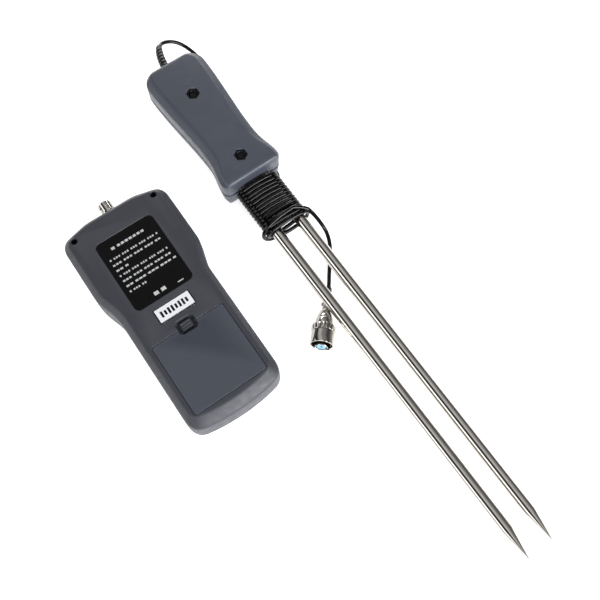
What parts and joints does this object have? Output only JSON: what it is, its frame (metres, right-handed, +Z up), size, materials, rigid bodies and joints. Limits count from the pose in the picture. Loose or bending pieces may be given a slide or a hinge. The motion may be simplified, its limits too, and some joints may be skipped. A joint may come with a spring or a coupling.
{
  "type": "grain moisture meter",
  "caption": "Hand-held grain moisture meter lying on its front beside its two-pin probe, whose lead is wound round the pins and ends in a bayonet plug.",
  "frame": {"origin": "the centre of the meter's front face, on the surface that the meter and the probe lie on", "axes": "+Z up out of the meter's back, +Y along the meter towards its connector end, +X towards the probe, whose pins point to -Y"},
  "size_m": [0.1616, 0.4318, 0.0374],
  "materials": {
    "case_plastic": "fine moulded texture, dark grey",
    "handle_plastic": "fine moulded texture, slate grey",
    "key_rubber": "soft, dark grey",
    "window_acrylic": "clear, smoked",
    "display_glass": "liquid crystal display",
    "circuit_board": "green solder mask",
    "key_silicone": "translucent silicone",
    "label_film": "black printed film",
    "sticker_foil": "satin silver foil",
    "nickel_plate": "bright nickel plate",
    "pin_steel": "polished along its length",
    "spring_steel": "plain",
    "contact_brass": "bright",
    "insulator_plastic": "white, slightly blue",
    "black_oxide": "black oxide",
    "cell_jacket": "plain wrapped jacket",
    "cord_vinyl": "smooth black vinyl",
    "boot_rubber": "black",
    "clamp_plastic": "dark grey",
    "wire_jacket": "red"
  },
  "bodies": {
    "meter": {"front_case": "case_plastic", "rear_case": "case_plastic", "display_window": "window_acrylic", "lcd_module": "display_glass", "main_board": "circuit_board", "key_mat": "key_silicone", "socket_body": "nickel_plate", "socket_insulator": "insulator_plastic", "socket_contact": "contact_brass", "socket_nut": "nickel_plate", "socket_washer": "spring_steel", "case_screw_left": "black_oxide", "case_screw_right": "black_oxide", "back_label": "label_film", "serial_sticker": "sticker_foil", "battery_contact_top": "spring_steel", "battery_contact_bottom": "spring_steel", "battery_cell_1": "cell_jacket", "battery_cell_2": "cell_jacket", "battery_cell_3": "cell_jacket", "battery_cell_4": "cell_jacket"},
    "battery_door": {"battery_door": "case_plastic"},
    "door_latch": {"door_latch": "key_rubber"},
    "key_up": {"key_up": "key_rubber"},
    "key_down": {"key_down": "key_rubber"},
    "key_mode": {"key_mode": "key_rubber"},
    "key_hold": {"key_hold": "key_rubber"},
    "key_power": {"key_power": "key_rubber"},
    "probe": {"handle_top": "handle_plastic", "handle_bottom": "handle_plastic", "handle_bolt_front": "black_oxide", "handle_bolt_rear": "black_oxide", "handle_nut_front": "black_oxide", "handle_nut_rear": "black_oxide", "probe_pin_left": "pin_steel", "probe_pin_right": "pin_steel", "pin_block": "clamp_plastic", "lug_left": "contact_brass", "lug_right": "contact_brass", "lug_screw_left": "spring_steel", "lug_screw_right": "spring_steel", "core_wire_left": "wire_jacket", "core_wire_right": "wire_jacket", "cord_boot": "boot_rubber", "cord_tail": "cord_vinyl", "cord_wrap": "cord_vinyl", "cord_loops": "cord_vinyl", "cord_lead": "cord_vinyl", "plug_shell": "nickel_plate", "plug_ferrule": "nickel_plate", "plug_insulator": "insulator_plastic", "plug_contact": "contact_brass", "plug_clamp": "nickel_plate", "plug_sleeve": "boot_rubber"},
    "coupling_nut": {"coupling_nut": "nickel_plate"}
  },
  "joints": [
    {"name": "battery_door_hinge", "type": "hinge", "parent": "meter", "child": "battery_door", "pos_m": [0, -0.06835, 0.0274], "axis": [1, 0, 0], "range_deg": [0, 70]},
    {"name": "door_latch_slide", "type": "slide", "parent": "battery_door", "child": "door_latch", "axis": [0, -0.9993, -0.038], "range_m": [0, 0.0013], "stiffness_N_per_m": 300},
    {"name": "coupling_nut_turn", "type": "hinge", "parent": "probe", "child": "coupling_nut", "pos_m": [0.0686, -0.06731, 0.00894], "axis": [0.6709, 0.727, -0.1461], "continuous": true},
    {"name": "probe_placement", "type": "slide", "parent": "meter", "child": "probe", "axis": [0, 0, 1], "range_m": [0, 0.15]},
    {"name": "key_up_press", "type": "slide", "parent": "meter", "child": "key_up", "axis": [0, 0, 1], "range_m": [0, 0.0008], "stiffness_N_per_m": 500},
    {"name": "key_down_press", "type": "slide", "parent": "meter", "child": "key_down", "axis": [0, 0, 1], "range_m": [0, 0.0008], "stiffness_N_per_m": 500},
    {"name": "key_mode_press", "type": "slide", "parent": "meter", "child": "key_mode", "axis": [0, 0, 1], "range_m": [0, 0.0008], "stiffness_N_per_m": 500},
    {"name": "key_hold_press", "type": "slide", "parent": "meter", "child": "key_hold", "axis": [0, 0, 1], "range_m": [0, 0.0008], "stiffness_N_per_m": 500},
    {"name": "key_power_press", "type": "slide", "parent": "meter", "child": "key_power", "axis": [0, 0, 1], "range_m": [0, 0.0008], "stiffness_N_per_m": 500}
  ]
}
